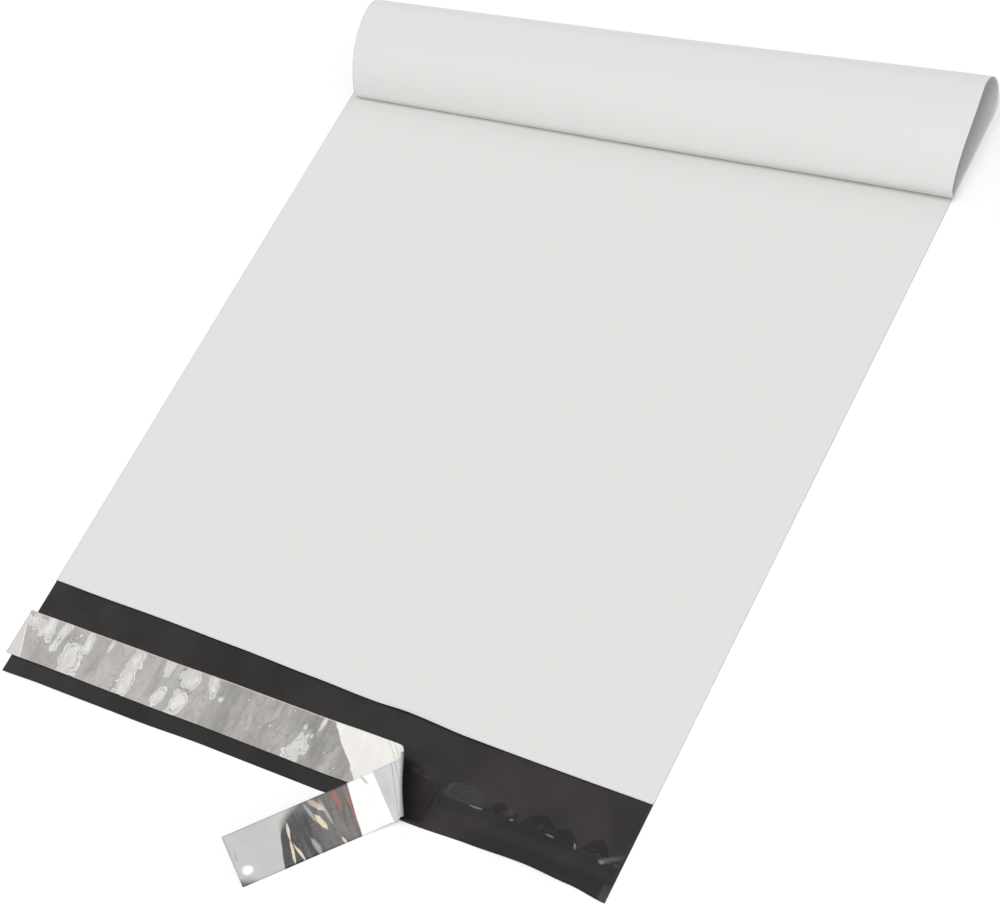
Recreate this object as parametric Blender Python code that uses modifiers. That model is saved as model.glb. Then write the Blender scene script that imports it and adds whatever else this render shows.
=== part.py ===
"""Poly mailer bag: an open film mailer whose closed end is curled over onto its front panel.

Metres, +Z up. X runs across the bag and Y from the flap's front edge to the closed end. The origin is on
the surface that the bag lies on, below the middle of the mouth, where the flap begins.
"""
import math

import bmesh
import bpy
from mathutils import Vector

# The film bag
BAG_WIDTH = 0.368
BODY_LENGTH = 0.483
FLAP_LENGTH = 0.051
FILM_THICKNESS = 0.0000635
POCKET_GAP = 0.0003

# The curl at the closed end: its section at the left and at the right edge of the bag.
# The film turns up around the nose, falls along the face and turns under around the heel.
NOSE_RADIUS = (0.0142, 0.01245)
TOP_SLOPE = (math.radians(0.1), math.radians(5.4))
FACE_SLOPE = (math.radians(57.5), math.radians(30.3))
HEEL_RADIUS = (0.0032, 0.0045)
TUCK_LENGTH = (0.0189, 0.001)

# The adhesive on the flap
ADHESIVE_WIDTH = 0.022
ADHESIVE_THICKNESS = 0.0001
ADHESIVE_END_MARGIN = 0.001

# The release liner over the adhesive, stuck on at the left and peeled back at the right
LINER_WIDTH = 0.0254
LINER_THICKNESS = 0.00005
LINER_SETBACK = 0.0078
LINER_OVERHANG = 0.0035
PEEL_PLACE = 0.0189
PEELED_LENGTH = 0.1625
TAIL_CUT_SLANT = 0.0043

# The bends of the peeled liner, each with its distance past the peel line along the middle of the strip,
# the direction of its line across the strip, its radius and how far it turns the strip
PEEL_BEND = (0.0, math.radians(-39.9), 0.0263, math.radians(31.3))
FOLD_BEND = (0.0563, math.radians(-66.5), 0.00113, math.radians(192.7))
RIM_BEND = (0.0702, math.radians(-66.2), 0.006, math.radians(-54.9))
CREASE_BEND = (0.0914, math.radians(-90.9), 0.003, math.radians(46.7))

# What lies on another piece keeps this clear of it
SEAT_GAP = 0.0003

# How finely the round stretches are cut into flats
NOSE_STEPS = 16
FACE_STEPS = 4
HEEL_STEPS = 8
BEND_STEPS = 8
PANEL_STRIPS = 5
LINER_STRIPS = 4

# From the middle of one film wall to the middle of the wall that lies on it
POCKET_PITCH = POCKET_GAP + FILM_THICKNESS
CURL_REST = POCKET_PITCH + FILM_THICKNESS + SEAT_GAP
ADHESIVE_BASE = FILM_THICKNESS + SEAT_GAP
LINER_MIDDLE = ADHESIVE_BASE + ADHESIVE_THICKNESS + SEAT_GAP + LINER_THICKNESS / 2
PLANE_TOLERANCE = 1e-7


def remove_old_objects():
    for old in list(bpy.data.objects):
        bpy.data.objects.remove(old, do_unlink=True)


def surface(name, colour, roughness, metallic=0.0):
    """A plain material for one piece."""
    material = bpy.data.materials.new(name)
    material.use_nodes = True
    shader = material.node_tree.nodes["Principled BSDF"]
    shader.inputs["Base Color"].default_value = (*colour, 1.0)
    shader.inputs["Roughness"].default_value = roughness
    shader.inputs["Metallic"].default_value = metallic
    return material


def finished_object(name, cage, collection, material, thickness=0.0):
    """Turn a cage into an object, given a film thickness where the cage is an open surface."""
    mesh = bpy.data.meshes.new(name)
    cage.to_mesh(mesh)
    cage.free()
    mesh.materials.append(material)
    piece = bpy.data.objects.new(name, mesh)
    collection.objects.link(piece)
    if thickness:
        mesh.shade_smooth()
        mesh.set_sharp_from_angle(angle=math.radians(40))
        film = piece.modifiers.new("film thickness", "SOLIDIFY")
        film.thickness = thickness
        film.offset = 0.0
        film.use_even_offset = True
        film.use_quality_normals = True
    return piece


def cut_across(cage, point, normal):
    """Cut a cage's faces along a plane and keep both sides."""
    everything = cage.verts[:] + cage.edges[:] + cage.faces[:]
    bmesh.ops.bisect_plane(cage, geom=everything, plane_co=point, plane_no=normal, dist=PLANE_TOLERANCE)


def cut_into_strips(cage, count, low, high, axis):
    """Cut a cage into strips of equal width along X (axis 0) or Y (axis 1)."""
    normal = Vector((0, 0, 0))
    normal[axis] = 1
    for number in range(1, count):
        point = normal * (low + (high - low) * number / count)
        cut_across(cage, point, normal)


def between(pair, share):
    """A value between the left edge's (share 0) and the right edge's (share 1)."""
    return pair[0] * (1 - share) + pair[1] * share


def curl_arcs(share):
    """Radius and sweep of the curl's nose, face and heel at a share of the bag's width."""
    nose = between(NOSE_RADIUS, share)
    heel = between(HEEL_RADIUS, share)
    top = between(TOP_SLOPE, share)
    face = between(FACE_SLOPE, share)
    fall = nose * (1 + math.cos(top)) - heel * (1 + math.cos(face)) - CURL_REST
    face_radius = fall / (math.cos(top) - math.cos(face))
    return ((nose, math.pi + top), (face_radius, face - top), (heel, math.pi - face))


def curled_length(share):
    """Film length from where it leaves the surface to the closed end."""
    return sum(radius * sweep for radius, sweep in curl_arcs(share)) + between(TUCK_LENGTH, share)


# The curl's axis is skewed, because the left edge takes up more film than the right one
CURL_SKEW = math.asin((curled_length(0) - curled_length(1)) / BAG_WIDTH)
CURL_START = BODY_LENGTH - (curled_length(0) + curled_length(1)) / 2 / math.cos(CURL_SKEW)
CURL_ALONG = Vector((math.cos(CURL_SKEW), math.sin(CURL_SKEW), 0))
CURL_ONWARD = Vector((-math.sin(CURL_SKEW), math.cos(CURL_SKEW), 0))


def follow_arcs(arcs, distance):
    """Run, rise and turn of a film at a distance past the line where the first arc begins."""
    run = min(distance, 0.0)
    rise = 0.0
    turn = 0.0
    remaining = max(distance, 0.0)
    for radius, sweep in arcs:
        part = min(remaining / radius, sweep)
        run += radius * (math.sin(turn + part) - math.sin(turn))
        rise += radius * (math.cos(turn) - math.cos(turn + part))
        turn += part
        remaining -= part * radius
    run += remaining * math.cos(turn)
    rise += remaining * math.sin(turn)
    return run, rise, turn


def curled(flat):
    """Where a point of the flat bag lies once its closed end is curled over."""
    start = Vector((0, CURL_START, 0))
    offset = Vector((flat.x, flat.y, 0)) - start
    distance = offset.dot(CURL_ONWARD)
    run, rise, turn = follow_arcs(curl_arcs(flat.x / BAG_WIDTH + 0.5), distance)
    run -= flat.z * math.sin(turn)
    rise += flat.z * math.cos(turn)
    place = start + offset.dot(CURL_ALONG) * CURL_ALONG + run * CURL_ONWARD
    place.z = FILM_THICKNESS / 2 + rise
    return place


def curl_stations(share):
    """Distances past the start of the curl at which its film is cut into flats."""
    stations = [0.0]
    for (radius, sweep), steps in zip(curl_arcs(share), (NOSE_STEPS, FACE_STEPS, HEEL_STEPS)):
        begin = stations[-1]
        stations += [begin + radius * sweep * number / steps for number in range(1, steps + 1)]
    return stations


def flat_pocket():
    """The bag laid flat: two panels joined at the sides and the closed end, and the flap at the mouth."""
    cage = bmesh.new()
    bmesh.ops.create_cube(cage, size=1.0)
    bmesh.ops.scale(cage, vec=(BAG_WIDTH, BODY_LENGTH, POCKET_PITCH), verts=cage.verts)
    bmesh.ops.translate(cage, vec=(0, BODY_LENGTH / 2, POCKET_PITCH / 2), verts=cage.verts)
    mouth = [face for face in cage.faces if face.normal.y < -0.5]
    bmesh.ops.delete(cage, geom=mouth, context="FACES_ONLY")
    fold = [
        edge for edge in cage.edges
        if all(abs(vert.co.y) < PLANE_TOLERANCE and abs(vert.co.z) < PLANE_TOLERANCE for vert in edge.verts)
    ]
    flap = bmesh.ops.extrude_edge_only(cage, edges=fold)["geom"]
    flap_edge = [item for item in flap if isinstance(item, bmesh.types.BMVert)]
    bmesh.ops.translate(cage, vec=(0, -FLAP_LENGTH, 0), verts=flap_edge)
    bmesh.ops.recalc_face_normals(cage, faces=cage.faces)
    return cage


def make_bag(collection):
    """One piece of film: back panel with flap, front panel, side welds and closed end."""
    cage = flat_pocket()
    cut_into_strips(cage, PANEL_STRIPS, -BAG_WIDTH / 2, BAG_WIDTH / 2, 0)
    for left, right in zip(curl_stations(0), curl_stations(1)):
        left_point = Vector((-BAG_WIDTH / 2, CURL_START, 0))
        left_point.y += -BAG_WIDTH / 2 * math.tan(CURL_SKEW) + left / math.cos(CURL_SKEW)
        right_point = Vector((BAG_WIDTH / 2, CURL_START, 0))
        right_point.y += BAG_WIDTH / 2 * math.tan(CURL_SKEW) + right / math.cos(CURL_SKEW)
        ruling = right_point - left_point
        cut_across(cage, left_point, Vector((-ruling.y, ruling.x, 0)).normalized())
    for vert in cage.verts:
        vert.co = curled(vert.co)
    film = surface("white film", (0.70, 0.71, 0.71), 0.35)
    return finished_object("bag", cage, collection, film, FILM_THICKNESS)


def make_adhesive(collection):
    """The band of hot-melt adhesive that the liner covers."""
    front = -FLAP_LENGTH + LINER_SETBACK + (LINER_WIDTH - ADHESIVE_WIDTH) / 2
    length = BAG_WIDTH - 2 * ADHESIVE_END_MARGIN
    cage = bmesh.new()
    bmesh.ops.create_cube(cage, size=1.0)
    bmesh.ops.scale(cage, vec=(length, ADHESIVE_WIDTH, ADHESIVE_THICKNESS), verts=cage.verts)
    middle = (0, front + ADHESIVE_WIDTH / 2, ADHESIVE_BASE + ADHESIVE_THICKNESS / 2)
    bmesh.ops.translate(cage, vec=middle, verts=cage.verts)
    glue = surface("clear adhesive", (0.02, 0.02, 0.02), 0.15)
    return finished_object("adhesive_strip", cage, collection, glue)


def bend_line(bend):
    """A point on a bend's line and the direction across it, on the flat liner."""
    distance, direction = bend[:2]
    point = Vector((PEEL_PLACE + distance, LINER_WIDTH / 2, 0))
    return point, Vector((-math.sin(direction), math.cos(direction), 0))


def bent(point, bend):
    """Carry a point around one bend, upward where the turn is positive and downward where it isn't."""
    radius, angle = bend[2:]
    origin, onward = bend_line(bend)
    side = math.copysign(1.0, angle)
    offset = point - origin
    distance = offset.dot(onward)
    along = offset - distance * onward
    along.z = 0
    run, rise, turn = follow_arcs(((radius, abs(angle)),), distance)
    height = offset.z * side
    place = origin + along + (run - height * math.sin(turn)) * onward
    place.z = side * (rise + height * math.cos(turn))
    return place


def peeled(flat):
    """Where a point of the flat liner lies: the bend that is farthest along the strip comes first."""
    place = flat.copy()
    for bend in (CREASE_BEND, RIM_BEND, FOLD_BEND, PEEL_BEND):
        place = bent(place, bend)
    return place + Vector((0, LINER_SETBACK - FLAP_LENGTH, LINER_MIDDLE))


def flat_liner():
    """The liner as cut, from its left end to its slanted right end, with its front edge at Y = 0."""
    left = -BAG_WIDTH / 2 - LINER_OVERHANG
    right = PEEL_PLACE + PEELED_LENGTH
    cage = bmesh.new()
    bmesh.ops.create_grid(cage, x_segments=1, y_segments=1, size=0.5)
    bmesh.ops.scale(cage, vec=(right - left, LINER_WIDTH, 1), verts=cage.verts)
    bmesh.ops.translate(cage, vec=((left + right) / 2, LINER_WIDTH / 2, 0), verts=cage.verts)
    for vert in cage.verts:
        if vert.co.x > PEEL_PLACE:
            vert.co.x += TAIL_CUT_SLANT * (vert.co.y / LINER_WIDTH - 0.5)
    return cage


def make_liner(collection):
    """The release liner: flat where it is stuck on, then lifted, folded over and hanging down in front."""
    cage = flat_liner()
    cut_into_strips(cage, LINER_STRIPS, 0, LINER_WIDTH, 1)
    for bend in (PEEL_BEND, FOLD_BEND, RIM_BEND, CREASE_BEND):
        origin, onward = bend_line(bend)
        reach = bend[2] * abs(bend[3])
        for number in range(BEND_STEPS + 1):
            cut_across(cage, origin + onward * (reach * number / BEND_STEPS), onward)
    for vert in cage.verts:
        vert.co = peeled(vert.co)
    film = surface("clear liner", (0.62, 0.62, 0.62), 0.12)
    return finished_object("release_liner", cage, collection, film, LINER_THICKNESS)


def main():
    remove_old_objects()
    collection = bpy.data.collections.new("poly mailer bag")
    bpy.context.scene.collection.children.link(collection)
    make_bag(collection)
    make_adhesive(collection)
    make_liner(collection)


main()
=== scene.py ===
"""A poly mailer bag with its flap open and its release liner half peeled.

The bag lies on its back. Its origin is on the surface below the middle of the mouth,
the flap points to -Y and the closed end, which has curled over, to +Y.
"""
import functools
import math

import bpy
from bpy.props import FloatProperty, FloatVectorProperty, PointerProperty
from mathutils import Matrix, Vector, noise


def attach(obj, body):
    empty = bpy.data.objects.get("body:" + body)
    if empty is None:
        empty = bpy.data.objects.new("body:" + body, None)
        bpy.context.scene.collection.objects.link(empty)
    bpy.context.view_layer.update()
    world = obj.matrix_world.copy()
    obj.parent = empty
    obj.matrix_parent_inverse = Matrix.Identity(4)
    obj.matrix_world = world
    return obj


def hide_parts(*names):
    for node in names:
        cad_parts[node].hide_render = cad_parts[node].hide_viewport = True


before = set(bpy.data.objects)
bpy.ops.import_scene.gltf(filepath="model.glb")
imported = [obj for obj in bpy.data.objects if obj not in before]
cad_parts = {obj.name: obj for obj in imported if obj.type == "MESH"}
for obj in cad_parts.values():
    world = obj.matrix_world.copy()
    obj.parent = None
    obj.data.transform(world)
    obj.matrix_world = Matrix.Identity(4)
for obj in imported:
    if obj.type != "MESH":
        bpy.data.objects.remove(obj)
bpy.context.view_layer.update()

bl_info = {
    "name": "Poly Mailer Bag",
    "version": (1, 0, 0),
    "blender": (4, 5, 0),
    "location": "3D View > Sidebar > Mailer",
    "description": "Makes a poly mailer bag with its release liner half peeled",
    "category": "Add Mesh",
}


# Settings

class BagSettings(bpy.types.PropertyGroup):
    """The film bag: its cut, and the curl of its closed end"""

    width: FloatProperty(
        name="Width", description="Across the bag, weld to weld", default=0.368, unit="LENGTH"
    )
    body_length: FloatProperty(
        name="Body length", description="Mouth to closed end, laid flat", default=0.483,
        unit="LENGTH",
    )
    flap_length: FloatProperty(
        name="Flap length", description="How far the flap reaches past the mouth",
        default=0.051, unit="LENGTH",
    )
    film_thickness: FloatProperty(
        name="Film thickness", description="One layer of film", default=0.0000635,
        unit="LENGTH", precision=5,
    )
    pocket_gap: FloatProperty(
        name="Pocket gap", description="Air between the two layers", default=0.0003,
        unit="LENGTH", precision=5,
    )
    nose_radius: FloatVectorProperty(
        name="Nose radius", description="First bend of the curl, at the left and right edge",
        size=2, default=(0.0142, 0.01245), unit="LENGTH",
    )
    top_slope: FloatVectorProperty(
        name="Top slope", description="Slope after the nose, at the left and right edge",
        size=2, default=(math.radians(0.1), math.radians(5.4)), unit="ROTATION",
    )
    face_slope: FloatVectorProperty(
        name="Face slope", description="Slope where the face meets the heel",
        size=2, default=(math.radians(57.5), math.radians(30.3)), unit="ROTATION",
    )
    heel_radius: FloatVectorProperty(
        name="Heel radius", description="Last bend of the curl",
        size=2, default=(0.0032, 0.0045), unit="LENGTH",
    )
    tuck_length: FloatVectorProperty(
        name="Tuck length", description="Film that lies under the curl past the heel",
        size=2, default=(0.0189, 0.001), unit="LENGTH",
    )
    heel_draw: FloatProperty(
        name="Heel draw", description="How far the curl's end is drawn in at the right heel",
        default=0.0038, unit="LENGTH",
    )
    tuck_draw: FloatProperty(
        name="Tuck draw", description="How much further the film under the heel is drawn in",
        default=0.0040, unit="LENGTH",
    )
    lag: FloatProperty(
        name="Lag", description="How much further back the curl lies at its right end",
        default=0.0018, unit="LENGTH",
    )
    white: FloatVectorProperty(
        name="Outside", description="Colour of the film's outside", subtype="COLOR",
        default=(0.755, 0.755, 0.738), min=0, max=1,
    )
    black: FloatVectorProperty(
        name="Inside", description="Colour of the film's inside", subtype="COLOR",
        default=(0.0095, 0.0065, 0.0058), min=0, max=1,
    )


class AdhesiveSettings(bpy.types.PropertyGroup):
    """The strip of adhesive along the flap"""

    width: FloatProperty(
        name="Width", description="Across the strip", default=0.022, unit="LENGTH"
    )
    thickness: FloatProperty(
        name="Thickness", description="Of the adhesive layer", default=0.00004,
        unit="LENGTH", precision=5,
    )
    end_margin: FloatProperty(
        name="End margin", description="Bare film at each end of the strip", default=0.001,
        unit="LENGTH",
    )
    ridge_height: FloatProperty(
        name="Ridge height", description="Of the wrinkles that the peeled liner left",
        default=0.0010, unit="LENGTH", precision=5,
    )
    colour: FloatVectorProperty(
        name="Colour", description="Of the adhesive over the black film", subtype="COLOR",
        default=(0.0085, 0.0060, 0.0056), min=0, max=1,
    )


class LinerSettings(bpy.types.PropertyGroup):
    """The release liner: its cut, and the bends of its peeled part"""

    width: FloatProperty(
        name="Width", description="Across the strip", default=0.0254, unit="LENGTH"
    )
    thickness: FloatProperty(
        name="Thickness", description="Of the release film", default=0.00005,
        unit="LENGTH", precision=5,
    )
    setback: FloatProperty(
        name="Setback", description="From the flap's front edge to the liner",
        default=0.0081, unit="LENGTH",
    )
    overhang: FloatProperty(
        name="Overhang", description="Of the left end past the bag's edge", default=0.0035,
        unit="LENGTH",
    )
    peel_place: FloatProperty(
        name="Peel place", description="Where the liner leaves the adhesive, from the middle",
        default=0.0262, unit="LENGTH",
    )
    peeled_length: FloatProperty(
        name="Peeled length", description="Of the lifted part along its middle",
        default=0.1518, unit="LENGTH",
    )
    cut_slant: FloatProperty(
        name="Cut slant", description="Of the free end across the strip", default=0.0019,
        unit="LENGTH",
    )
    bend_places: FloatVectorProperty(
        name="Bend places", description="Of the peel, lift, fold, rim and crease past the peel",
        size=5, default=(0.0, 0.033475, 0.053124, 0.060801, 0.088021), unit="LENGTH",
    )
    bend_directions: FloatVectorProperty(
        name="Bend directions", description="Of the bend lines in the strip's plane",
        size=5, default=tuple(math.radians(a) for a in (-28.8, -77.9, -72.3, -65.4, -85.7)),
        unit="ROTATION",
    )
    bend_radii: FloatVectorProperty(
        name="Bend radii", description="Of the peel, lift, fold, rim and crease",
        size=5, default=(0.03898, 0.012, 0.0007205, 0.004, 0.003), unit="LENGTH",
    )
    bend_turns: FloatVectorProperty(
        name="Bend turns", description="Of the peel, lift, fold, rim and crease",
        size=5, default=tuple(math.radians(a) for a in (29.8, 39.0, 190.3, -72.5, -8.1)),
        unit="ROTATION",
    )
    colour: FloatVectorProperty(
        name="Colour", description="Of the liner where it sticks to the adhesive",
        subtype="COLOR", default=(0.365, 0.352, 0.330), min=0, max=1,
    )
    lifted_colour: FloatVectorProperty(
        name="Lifted colour", description="Of the liner with air behind it",
        subtype="COLOR", default=(0.85, 0.83, 0.785), min=0, max=1,
    )


class StageSettings(bpy.types.PropertyGroup):
    """The floor, lamps and camera"""

    floor_colour: FloatVectorProperty(
        name="Floor colour", description="Of the floor in full light", subtype="COLOR",
        default=(0.82, 0.82, 0.82), min=0, max=1,
    )
    daylight: FloatProperty(
        name="Daylight", description="Share of the light that comes from all round",
        default=0.5, min=0, max=1, subtype="FACTOR",
    )
    lens: FloatProperty(
        name="Lens", description="Focal length in millimetres", default=86.241
    )
    camera_place: FloatVectorProperty(
        name="Camera place", description="Where the camera stands",
        default=(0.657921, -0.249447, 0.910585), subtype="TRANSLATION", unit="LENGTH",
    )
    camera_aim: FloatVectorProperty(
        name="Camera aim", description="Point on the floor in the picture's middle",
        default=(0.023005, 0.137579, 0.0), subtype="TRANSLATION", unit="LENGTH",
    )
    camera_roll: FloatProperty(
        name="Camera roll", description="Turn of the camera about its view",
        default=math.radians(-36.0), unit="ROTATION",
    )


SETTINGS = {
    "mailer_bag": BagSettings,
    "mailer_adhesive": AdhesiveSettings,
    "mailer_liner": LinerSettings,
    "mailer_stage": StageSettings,
}
SEAT_GAP = 0.0003


# Shaders

class Value:
    """An output of a shader node, used in sums like a number."""

    def __init__(self, tree, socket):
        self.tree = tree
        self.socket = socket

    def maths(self, operation, *others):
        return add_node(
            self.tree, "ShaderNodeMath", {"operation": operation},
            dict(enumerate((self, *others))),
        )

    def reflected(self, operation, other):
        return add_node(self.tree, "ShaderNodeMath", {"operation": operation}, {0: other, 1: self})

    def __add__(self, other):
        return self.maths("ADD", other)

    def __radd__(self, other):
        return self.reflected("ADD", other)

    def __sub__(self, other):
        return self.maths("SUBTRACT", other)

    def __rsub__(self, other):
        return self.reflected("SUBTRACT", other)

    def __mul__(self, other):
        return self.maths("MULTIPLY", other)

    def __rmul__(self, other):
        return self.reflected("MULTIPLY", other)

    def __truediv__(self, other):
        return self.maths("DIVIDE", other)

    def __rtruediv__(self, other):
        return self.reflected("DIVIDE", other)

    def __pow__(self, other):
        return self.maths("POWER", other)

    def __abs__(self):
        return self.maths("ABSOLUTE")

    def most(self, other):
        return self.maths("MAXIMUM", other)

    def rise(self, start, end):
        """From 0 to 1, smoothly, as the value goes from start to end."""
        return add_node(
            self.tree, "ShaderNodeMapRange", {"interpolation_type": "SMOOTHSTEP"},
            {0: self, 1: start, 2: end},
        )

    def fall(self, start, end):
        """From 1 to 0, smoothly, as the value goes from start to end."""
        return 1 - self.rise(start, end)

    def line(self, near, far):
        """1 where the value is about 0, and 0 where it is past far on either side."""
        return abs(self).fall(near, far)

    def colours(self, first, second):
        """A colour from first to second as the value goes from 0 to 1."""
        return add_node(
            self.tree, "ShaderNodeMix", {"data_type": "RGBA"},
            {0: self, 6: solid(first), 7: solid(second)}, 2,
        )


def solid(colour):
    """A colour with its fourth number, or a node's output as it is."""
    if isinstance(colour, Value):
        return colour
    return (*colour[:3], 1.0)


def toned(colour, *tones):
    """A colour made darker or lighter, by one share or by one for each channel."""
    if len(tones) == 1:
        tones *= 3
    return tuple(min(channel * tone, 1.0) for channel, tone in zip(colour, tones))


def add_node(tree, kind, settings, values, output=0):
    """A node with its settings, then the numbers and links of its sockets."""
    node = tree.nodes.new(kind)
    for name, setting in settings.items():
        setattr(node, name, setting)
    for place, value in values.items():
        if isinstance(value, Value):
            tree.links.new(value.socket, node.inputs[place])
        else:
            node.inputs[place].default_value = value
    return Value(tree, node.outputs[output])


def oval(x, y, middle, place, reach, spread, tilt=0.0):
    """1 in the middle of a tilted oval and 0 at its rim."""
    across = (x - middle - (y - place) * tilt) / reach
    along = (y - place) / spread
    return 1 - (across * across + along * along) ** 0.5


def ovals(x, y, spots):
    """The highest of several ovals at each place of a film."""
    fields = [oval(x, y, *spot) for spot in spots]
    return functools.reduce(Value.most, fields)


class Finish:
    """A material with one Principled shader."""

    def __init__(self, name, **constants):
        self.material = bpy.data.materials.new(name)
        self.material.use_nodes = True
        self.tree = self.material.node_tree
        self.shader = self.tree.nodes["Principled BSDF"]
        self.set(**constants)

    def set(self, **values):
        for name, value in values.items():
            place = name.replace("_", " ")
            if isinstance(value, Value):
                self.tree.links.new(value.socket, self.shader.inputs[place])
            elif hasattr(value, "__len__"):
                self.shader.inputs[place].default_value = solid(value)
            else:
                self.shader.inputs[place].default_value = value

    def node(self, kind, settings, values, output=0):
        return add_node(self.tree, kind, settings, values, output)

    def place(self):
        """Where a point lies on the film before it is bent, in metres."""
        return self.node(
            "ShaderNodeAttribute", {"attribute_name": "flat", "attribute_type": "GEOMETRY"}, {}, 1
        )

    def parts(self, vector):
        """The x and y of a vector."""
        return (
            self.node("ShaderNodeSeparateXYZ", {}, {0: vector}, 0),
            self.node("ShaderNodeSeparateXYZ", {}, {0: vector}, 1),
        )

    def noise(self, flat, scale, detail=2.0, distortion=0.0):
        """Smooth noise from 0 to 1, even about 0.5, with one scale or one for x and one for y."""
        if isinstance(scale, tuple):
            flat = self.node(
                "ShaderNodeVectorMath", {"operation": "MULTIPLY"}, {0: flat, 1: (*scale, 0.0)}
            )
            scale = 1.0
        return self.node(
            "ShaderNodeTexNoise", {},
            {"Vector": flat, "Scale": scale, "Detail": detail, "Distortion": distortion},
        )

    def bump(self, height, distance):
        self.set(Normal=self.node(
            "ShaderNodeBump", {}, {"Height": height, "Strength": 1.0, "Distance": distance}
        ))


# Meshes

def between(pair, share):
    return pair[0] * (1 - share) + pair[1] * share


def follow_arcs(arcs, distance):
    """Run, rise and turn after a distance along arcs of a radius and a sweep."""
    run = min(distance, 0.0)
    rise = 0.0
    turn = 0.0
    remaining = max(distance, 0.0)
    for radius, sweep in arcs:
        part = min(remaining / radius, sweep)
        run += radius * (math.sin(turn + part) - math.sin(turn))
        rise += radius * (math.cos(turn) - math.cos(turn + part))
        turn += part
        remaining -= part * radius
    run += remaining * math.cos(turn)
    rise += remaining * math.sin(turn)
    return run, rise, turn


def ease(value, start, end):
    """From 0 to 1, smoothly, as the value goes from start to end."""
    share = min(max((value - start) / (end - start), 0.0), 1.0)
    return share * share * (3 - 2 * share)


def bell(value, middle, reach):
    """1 at the middle, falling smoothly to 0 at the reach on both sides."""
    return 1 - ease(abs(value - middle), 0.0, reach)


def knotted(knots, value):
    """A smooth curve through knots of a place and a height."""
    if value <= knots[0][0]:
        return knots[0][1]
    for (start, low), (end, high) in zip(knots, knots[1:]):
        if value <= end:
            return low + (high - low) * ease(value, start, end)
    return knots[-1][1]


def stations(start, end, step):
    """Evenly spaced numbers from start to end, no further apart than step."""
    count = max(1, math.ceil((end - start) / step - 1e-6))
    return [start + (end - start) * i / count for i in range(count + 1)]


def sheet_object(name, points, faces, flats, materials, thickness, **solidify):
    """A film as an object: its middle surface, thickened evenly to both sides."""
    mesh = bpy.data.meshes.new(name)
    mesh.from_pydata(points, [], faces)
    flat = mesh.attributes.new("flat", "FLOAT_VECTOR", "POINT")
    flat.data.foreach_set("vector", [number for point in flats for number in point])
    mesh.polygons.foreach_set("use_smooth", [True] * len(mesh.polygons))
    for finish in materials:
        mesh.materials.append(finish.material)
    obj = bpy.data.objects.new(name, mesh)
    bpy.context.scene.collection.objects.link(obj)
    thicken = obj.modifiers.new("Film thickness", "SOLIDIFY")
    thicken.thickness = thickness
    thicken.offset = 0.0
    thicken.use_even_offset = True
    thicken.use_quality_normals = True
    for option, value in solidify.items():
        setattr(thicken, option, value)
    return obj


def grid_faces(rows, columns, start=0):
    """Faces of a grid of points that runs row by row."""
    return [
        (corner, corner + 1, corner + columns + 1, corner + columns)
        for row in range(rows - 1)
        for corner in range(start + row * columns, start + (row + 1) * columns - 1)
    ]


# Bag

# Places across the bag, and how far the edge runs out of true at each.
MOUTH_EDGE = (
    (-0.184, 0.0008), (-0.150, 0.0003), (-0.118, 0.0005), (-0.060, -0.0001),
    (-0.010, -0.0011), (0.030, -0.0019), (0.046, -0.0014), (0.085, -0.0029),
    (0.150, -0.0030), (0.184, -0.0027),
)
FLAP_EDGE = (
    (-0.184, -0.0026), (-0.155, -0.0020), (-0.095, -0.0014), (-0.045, -0.0002),
    (0.020, 0.0000), (0.045, 0.0009), (0.078, 0.0010), (0.110, 0.0022),
    (0.140, 0.0028), (0.165, 0.0018), (0.184, 0.0001),
)
# Height, middle and reach of each wave, and where it starts and ends along the flap.
FLAP_WAVES = (
    (0.0022, 0.142, 0.048, 0.012, 0.051), (0.0005, 0.085, 0.030, 0.030, 0.051),
    (0.0009, -0.150, 0.050, 0.035, 0.051),
)
FLAP_CALM = 0.004
MOUTH_CALM = 0.060
HEEL_DRAW_SPAN = (0.045, 0.098)
TUCK_DRAW_SPAN = (0.0985, 0.1035)
WELD_STEPS = (0.0, 0.0007, 0.0015, 0.0026, 0.0042)
WELD_REACH = 0.0075
COLUMN_STEP = 0.0036
FLAP_STEP = 0.0028
MOUTH_REACH = 0.012
MOUTH_STEP = 0.002
BODY_STEP = 0.0048
CURL_LEAD = 0.008
CURL_STEP = 0.0013
SPECK_COLOUR = (0.42, 0.42, 0.41)
CORNER_COLOUR = (0.09, 0.083, 0.075)
CUT_COLOUR = (0.55, 0.55, 0.54)


def flap_lift(x, y):
    """How far the flap stands off the surface, and what lies on it with it."""
    return sum(
        height * bell(x, middle, reach) * ease(-y, start, end)
        for height, middle, reach, start, end in FLAP_WAVES
    )


def flap_shift(bag, x, y):
    """How far the flap runs out of true, fully so at its front edge."""
    return knotted(FLAP_EDGE, x) * ease(-y, FLAP_CALM, bag.flap_length)


def curl_arcs(bag, share):
    """The curl's nose, face and heel as arcs, at a share of the width from the left edge."""
    nose = between(bag.nose_radius, share)
    heel = between(bag.heel_radius, share)
    top = between(bag.top_slope, share)
    face = between(bag.face_slope, share)
    rest = bag.pocket_gap + 2 * bag.film_thickness + SEAT_GAP
    fall = nose * (1 + math.cos(top)) - heel * (1 + math.cos(face)) - rest
    face_radius = fall / (math.cos(top) - math.cos(face))
    return ((nose, math.pi + top), (face_radius, face - top), (heel, math.pi - face))


def curled_length(bag, share):
    """How much film lies in the curl and under it."""
    arcs = curl_arcs(bag, share)
    return sum(radius * sweep for radius, sweep in arcs) + between(bag.tuck_length, share)


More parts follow.
